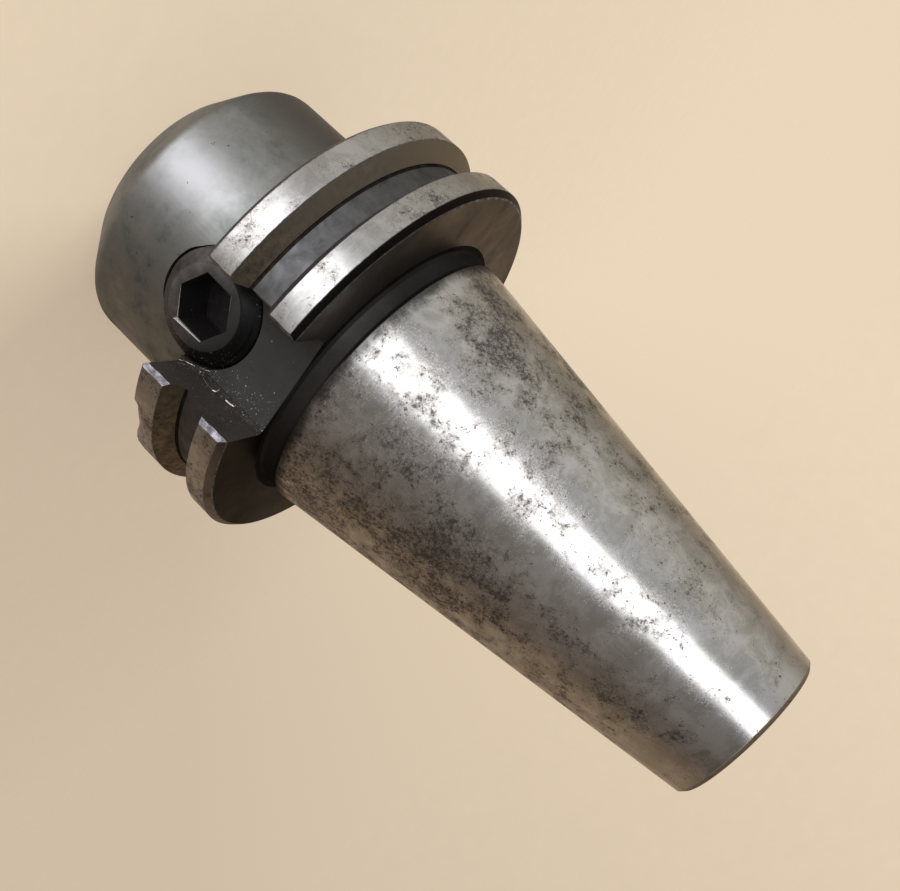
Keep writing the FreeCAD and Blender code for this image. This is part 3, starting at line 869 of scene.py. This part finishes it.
def blackenedSteel(name, look):
    tree, shader, place = newMaterial(name)
    shader.inputs["Metallic"].default_value = 1
    shader.inputs["Specular Tint"].default_value = [look["glare"]] * 3 + [1]
    split = addNode(tree, "ShaderNodeSeparateXYZ", None, {0: place})
    patch = addNode(tree, "ShaderNodeTexNoise", {
        "Scale": perMm(look["patch"]), "Detail": 6, "Roughness": 0.65, "Distortion": 0.3}, {"Vector": place})
    grain = addNode(tree, "ShaderNodeTexNoise", {
        "Scale": perMm(look["grain"]), "Detail": 4, "Roughness": 0.7}, {"Vector": place})
    rubShare = addNode(tree, "ShaderNodeMapRange", {
        "interpolation_type": "SMOOTHSTEP", "From Min": 0.45, "From Max": 0.68},
        {"Value": patch.outputs["Fac"]})
    dullShare = addNode(tree, "ShaderNodeMapRange", {
        "interpolation_type": "SMOOTHSTEP", "From Min": 0.48, "From Max": 0.3, "To Max": 0.8},
        {"Value": patch.outputs["Fac"]})
    rubbed = addNode(tree, "ShaderNodeMix", {
        "data_type": "RGBA", 6: toLinear(look["oxide"]), 7: toLinear(look["rubbed"])},
        {0: rubShare.outputs[0]})
    dulled = addNode(tree, "ShaderNodeMix", {
        "data_type": "RGBA", 7: toLinear(look["dull"])}, {0: dullShare.outputs[0], 6: rubbed.outputs[2]})
    colour = dulled.outputs[2]
    roughness = addNode(tree, "ShaderNodeMapRange", {
        "From Min": 0.3, "From Max": 0.7, "To Min": look["roughness"] + look["roughnessSpread"],
        "To Max": look["roughness"] - look["roughnessSpread"] / 2},
        {"Value": patch.outputs["Fac"]}).outputs[0]
    # Wear polished by handling, set where the highlight falls: partly painted highlight
    if look["rubAndHighlight"]:
        centre, reach, rubHighlightColour, polishRoughness = look["rubAndHighlight"]
        away = addNode(tree, "ShaderNodeVectorMath", {
            "operation": "DISTANCE", 1: Vector(centre) * mm}, {0: place})
        streak = addNode(tree, "ShaderNodeTexNoise", {
            "Scale": perMm(2.5), "Detail": 5, "Roughness": 0.7, "Distortion": 0.4}, {"Vector": place})
        uneven = addNode(tree, "ShaderNodeMath", {
            "operation": "MULTIPLY_ADD", 1: -reach * 1.4 * mm},
            {0: streak.outputs["Fac"], 2: away.outputs["Value"]})
        rubHighlightShare = addNode(tree, "ShaderNodeMapRange", {
            "interpolation_type": "SMOOTHSTEP", "From Min": reach * 0.35 * mm, "From Max": -reach * 0.6 * mm},
            {"Value": uneven.outputs[0]})
        colour = addNode(tree, "ShaderNodeMix", {
            "data_type": "RGBA", 7: toLinear(rubHighlightColour)}, {0: rubHighlightShare.outputs[0], 6: colour}).outputs[2]
        roughness = addNode(tree, "ShaderNodeMix", {3: polishRoughness}, {
            0: rubHighlightShare.outputs[0], 2: roughness}).outputs[0]
    if look["spot"]:
        pits = addNode(tree, "ShaderNodeTexNoise", {
            "Scale": perMm(0.9), "Detail": 2, "Roughness": 0.6}, {"Vector": place})
        pitted = addNode(tree, "ShaderNodeMapRange", {
            "interpolation_type": "SMOOTHSTEP", "From Min": 0.71, "From Max": 0.77},
            {"Value": pits.outputs["Fac"]})
        colour = addNode(tree, "ShaderNodeMix", {
            "data_type": "RGBA", 7: toLinear("#2e2d2b")}, {0: pitted.outputs[0], 6: colour}).outputs[2]
    # Painted light and shade: a lighter or darker colour towards one side
    if look["lean"]:
        axis, low, high, dark = look["lean"]
        share = addNode(tree, "ShaderNodeMapRange", {
            "interpolation_type": "SMOOTHSTEP", "From Min": low * mm, "From Max": high * mm},
            {"Value": split.outputs[axis]})
        colour = addNode(tree, "ShaderNodeMix", {
            "data_type": "RGBA", 7: toLinear(dark)}, {0: share.outputs[0], 6: colour}).outputs[2]
    if look["dust"]:
        cornerX, cornerY, reach, thick, thin = look["dust"]
        flat = addNode(tree, "ShaderNodeCombineXYZ", None, {"X": split.outputs["X"], "Y": split.outputs["Y"]})
        away = addNode(tree, "ShaderNodeVectorMath", {
            "operation": "DISTANCE", 1: (cornerX * mm, cornerY * mm, 0)}, {0: flat.outputs[0]})
        drift = addNode(tree, "ShaderNodeMath", {
            "operation": "MULTIPLY_ADD", 1: -4 * mm}, {0: patch.outputs["Fac"], 2: away.outputs["Value"]})
        share = addNode(tree, "ShaderNodeMapRange", {
            "interpolation_type": "SMOOTHSTEP", "From Min": -2 * mm, "From Max": (reach - 2) * mm,
            "To Min": thick, "To Max": thin}, {"Value": drift.outputs[0]})
        for size, spread in ((0.2, 0.55), (0.38, 0.3)):
            grains = addNode(tree, "ShaderNodeTexVoronoi", {
                "Scale": perMm(size), "Randomness": 1}, {"Vector": place})
            kind = addNode(tree, "ShaderNodeSeparateColor", None, {"Color": grains.outputs["Color"]})
            present = addNode(tree, "ShaderNodeMath", {
                "operation": "LESS_THAN"}, {0: kind.outputs["Red"], 1: share.outputs[0]})
            width = addNode(tree, "ShaderNodeMath", {
                "operation": "MULTIPLY", 1: spread}, {0: kind.outputs["Blue"]})
            inside = addNode(tree, "ShaderNodeMath", {
                "operation": "LESS_THAN"}, {0: grains.outputs["Distance"], 1: width.outputs[0]})
            shown = addNode(tree, "ShaderNodeMath", {
                "operation": "MULTIPLY"}, {0: present.outputs[0], 1: inside.outputs[0]})
            tint = addNode(tree, "ShaderNodeValToRGB", {"stops": [
                (0, "#57504a"), (0.6, "#70675f"), (0.92, "#958d86"), (1, "#d0cdc8")]},
                {"Fac": kind.outputs["Green"]})
            colour = addNode(tree, "ShaderNodeMix", {
                "data_type": "RGBA"}, {0: shown.outputs[0], 6: colour, 7: tint.outputs["Color"]}).outputs[2]
    tree.links.new(colour, shader.inputs["Base Color"])
    tree.links.new(roughness, shader.inputs["Roughness"])
    bump = addNode(tree, "ShaderNodeBump", {"Strength": 0.2, "Distance": 0.02 * mm}, {
        "Height": grain.outputs["Fac"]})
    tree.links.new(bump.outputs[0], shader.inputs["Normal"])
    return bpy.data.materials[name]


# Which finish a face of the holder gets, from where it lies and which way it faces
def holderFinish(centre, normal):
    h, s, d = holderSizes, slotSizes, dentSizes
    x, y, height = centre / mm
    radius = math.hypot(x, y)
    outward = (normal.x * x + normal.y * y) / radius
    if radius < 16 and outward < 0.3 and height < topHeight - 0.3:
        return "boredSteel"
    grooveLow = h["grooveCentre"] - h["grooveWidth"] / 2
    grooveHigh = h["grooveCentre"] + h["grooveWidth"] / 2
    for cornerRadius, cornerHeight, reach in (
            (h["flangeRadius"], grooveLow, 0.12), (h["flangeRadius"], grooveHigh, 0.12),
            (h["flangeRadius"], h["flangeFront"] + h["frontChamfer"], 0.12),
            (h["flangeRadius"], h["flangeRear"] - h["rearChamfer"], 0.12),
            (h["flangeRadius"] - h["rearChamfer"], h["flangeRear"], 0.2)):
        if math.hypot(radius - cornerRadius, height - cornerHeight) < reach:
            return "bareCorners"
    flankRun = (h["flangeRadius"] - h["grooveFloor"]) * math.tan(math.radians(30))
    # painted shade in the groove's foot and round the screw's hole
    if math.hypot(radius - h["grooveFloor"], height - grooveLow - flankRun) < 0.3:
        return "oldOil"
    fromScrew = math.hypot(x, height - screwSizes["height"])
    if y < -radius * 0.5 and fromScrew < screwSizes["mouthRadius"] - 0.02 and normal.y > -0.9:
        return "oldOil"
    if h["flangeRear"] - h["rearChamfer"] < height < h["flangeRear"] and 0.5 < normal.z < 0.9:
        return "rearCorner"
    if height > topHeight - h["tailChamfer"] - 0.1 and outward < 0.97:
        return "tailEdge"
    if height > h["taperStart"] - 0.4:
        return "groundTaper" if outward > 0.9 and height > h["taperStart"] - 0.05 else "blackenedNeck"
    if height > h["flangeRear"] - 0.01 and radius < h["neckRadius"] + h["neckFillet"]:
        return "blackenedNeck"
    if height < h["flangeFront"] - 0.05:
        return "blackenedNose"
    if radius > h["flangeRadius"] - 0.02 and outward > 0.95:
        return "groundRings"
    across = abs(x) - s["width"] / 2
    if -0.1 < across < 0.8 and radius > 29 and abs(normal.x) > 0.4 and abs(normal.y) > 0.4:
        return "bareCorners"
    if abs(y) > s["floor"] * 0.98 and across < 0.05 and abs(normal.z) < 0.5:
        if abs(normal.x) > 0.99:
            return "slotWalls"
        return "slotFloors" if abs(normal.y) > 0.99 else "slotFillets"
    if height < d["run"] + h["flangeFront"] and radius > 29 and outward > 0.5 and normal.z > -0.65:
        return "groundRings"
    if grooveLow < height < grooveHigh:
        return "oiledFlank" if normal.z > 0.3 else "grooveFloor"
    return "flangeRear" if normal.z > 0.5 else "blackenedFlange"


# Face of the screw: 0 flat end, 1 bevel and thread, 2 inside of the socket, 3 the crushed edge
def screwFinish(centre, normal):
    s = screwSizes
    x, y, z = centre / mm
    radius = math.hypot(x, z - s["height"])
    inward = (normal.x * x + normal.z * (z - s["height"])) / max(radius, 0.01)
    flat = s["radius"] - s["faceBevel"]
    if normal.y < -0.97 and y < 0.01 - s["face"]:
        return 0
    if radius > flat - 0.1 or inward > 0.3:
        return 1
    return 3 if y < s["wornEdge"] - s["face"] and normal.y < -0.1 else 2


# Small bright chips and a fibre lying in the slot's corner, each a list of points in mm
swarfSizes = {
    "chips": [
        (0.3, [(8.0, -23.5, 32.6), (7.98, -23.35, 33.05), (7.75, -22.75, 33.0)]),
        (0.28, [(7.98, -22.95, 34.75), (7.98, -22.98, 35.4), (7.85, -22.8, 36.15)]),
        (0.13, [(8.1, -23.9, 26.25), (8.06, -23.55, 26.6), (8.02, -22.95, 26.9)]),
        (0.11, [(7.3, -22.47, 29.6), (7.0, -22.46, 29.9), (6.9, -22.47, 30.3)]),
        (0.12, [(8.05, -23.0, 26.9), (7.98, -22.85, 27.4), (7.86, -22.72, 27.9)]),
        (0.1, [(8.1, -24.9, 26.9), (8.08, -24.3, 27.0), (8.1, -23.7, 27.4)]),
    ],
    "fibres": [
        (0.045, [(8.06, -22.92, 30.2), (8.1, -23.36, 31.6), (8.1, -23.2, 32.4)]),
        (0.03, [(8.12, -28.4, 26.15), (8.12, -26.6, 26.35), (8.08, -23.9, 26.2)]),
        (0.03, [(4.4, -22.44, 39.1), (3.8, -22.43, 39.9), (3.2, -22.44, 40.4)]),
    ],
}


def buildSwarf(name, strands, material):
    for thickness, points in strands:
        deselectAll()
        bpy.ops.curve.primitive_nurbs_path_add()
        strand = bpy.context.object
        spline = strand.data.splines[0]
        for point, place in zip(spline.points, points + [points[-1]] * 2):
            point.co = (*(Vector(place) * mm), 1)
        spline.order_u = 3
        spline.use_endpoint_u = True
        strand.data.bevel_depth = thickness / 2 * mm
        strand.data.bevel_resolution = 2
        strand.data.use_fill_caps = True
        bpy.ops.object.convert(target="MESH")
        applyPlace(strand)
        strand.name = name + "Strand"
    deselectAll()
    strands = [item for item in bpy.data.objects if item.name.startswith(name + "Strand")]
    for item in strands:
        item.select_set(True)
    bpy.context.view_layer.objects.active = strands[0]
    bpy.ops.object.join()
    piece = bpy.context.object
    piece.name = name
    piece.data.materials.clear()
    piece.data.materials.append(material)
    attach(piece, "holder")
    return piece


# Curled steel chips: bright, broken faces. Fibres: grey lint from the rag
def chipSteel():
    tree, shader, place = newMaterial("brightChips")
    shader.inputs["Metallic"].default_value = 1
    shader.inputs["Roughness"].default_value = 0.45
    flecks = addNode(tree, "ShaderNodeTexNoise", {"Scale": perMm(0.3), "Detail": 2}, {"Vector": place})
    tint = addNode(tree, "ShaderNodeMix", {
        "data_type": "RGBA", 6: toLinear("#f4f2ef"), 7: toLinear("#cac6c0")}, {0: flecks.outputs["Fac"]})
    tree.links.new(tint.outputs[2], shader.inputs["Base Color"])
    return bpy.data.materials["brightChips"]


def ragLint():
    tree, shader, place = newMaterial("ragLint")
    shader.inputs["Roughness"].default_value = 0.8
    flecks = addNode(tree, "ShaderNodeTexNoise", {"Scale": perMm(0.4), "Detail": 2}, {"Vector": place})
    tint = addNode(tree, "ShaderNodeMix", {
        "data_type": "RGBA", 6: toLinear("#8f8a80"), 7: toLinear("#67625a")}, {0: flecks.outputs["Fac"]})
    tree.links.new(tint.outputs[2], shader.inputs["Base Color"])
    return bpy.data.materials["ragLint"]


bpy.context.scene.view_settings.view_transform = "Standard"
addCamera()
addLights()
addFloor()
print("stage: camera, lights and floor")

body = buildHolder()
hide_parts("holder_body")
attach(body, "holder")
holderFinishes = [
    groundSteel("groundTaper", groundLook),
    groundSteel("groundRings", dict(
        groundLook, cover=-0.09, steel="#bcbab6", steelDull="#a3a19b", roughness=0.29)),
    blackenedSteel("blackenedNose", noseLook),
    blackenedSteel("blackenedFlange", flangeLook),
    blackenedSteel("flangeRear", rearLook),
    blackenedSteel("rearCorner", cornerLook),
    blackenedSteel("slotFloors", slotLook),
    blackenedSteel("slotWalls", wallLook),
    blackenedSteel("slotFillets", filletLook),
    blackenedSteel("bareCorners", edgeLook),
    blackenedSteel("boredSteel", dict(flangeLook, oxide="#8a8783")),
    blackenedSteel("oiledFlank", flankLook),
    blackenedSteel("grooveFloor", grooveLook),
    blackenedSteel("oldOil", creaseShadeLook),
    blackenedSteel("blackenedNeck", neckLook),
    blackenedSteel("tailEdge", tailLook),
]
for finish in holderFinishes:
    body.data.materials.append(finish)
finishNames = [finish.name for finish in holderFinishes]
for face in body.data.polygons:
    face.material_index = finishNames.index(holderFinish(face.center, face.normal))
makeActive(body)
bpy.ops.object.shade_smooth_by_angle(angle=math.radians(30))
print("stage: holder body")

screw = buildScrew()
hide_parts("set_screw")
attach(screw, "screw")
for finish in (
        blackenedSteel("screwFace", screwFaceLook),
        blackenedSteel("screwSide", screwSideLook),
        blackenedSteel("screwSocket", socketLook),
        blackenedSteel("wornHex", dict(
            edgeLook, oxide="#c4c0bb", rubbed="#dedad5", dull="#8f8b86", patch=0.4))):
    screw.data.materials.append(finish)
for face in screw.data.polygons:
    face.material_index = screwFinish(face.center, face.normal)
makeActive(screw)
bpy.ops.object.shade_smooth_by_angle(angle=math.radians(30))
print("stage: set screw")

buildSwarf("slotChips", swarfSizes["chips"], chipSteel())
buildSwarf("slotLint", swarfSizes["fibres"], ragLint())
print("stage: chips and lint in the slot")
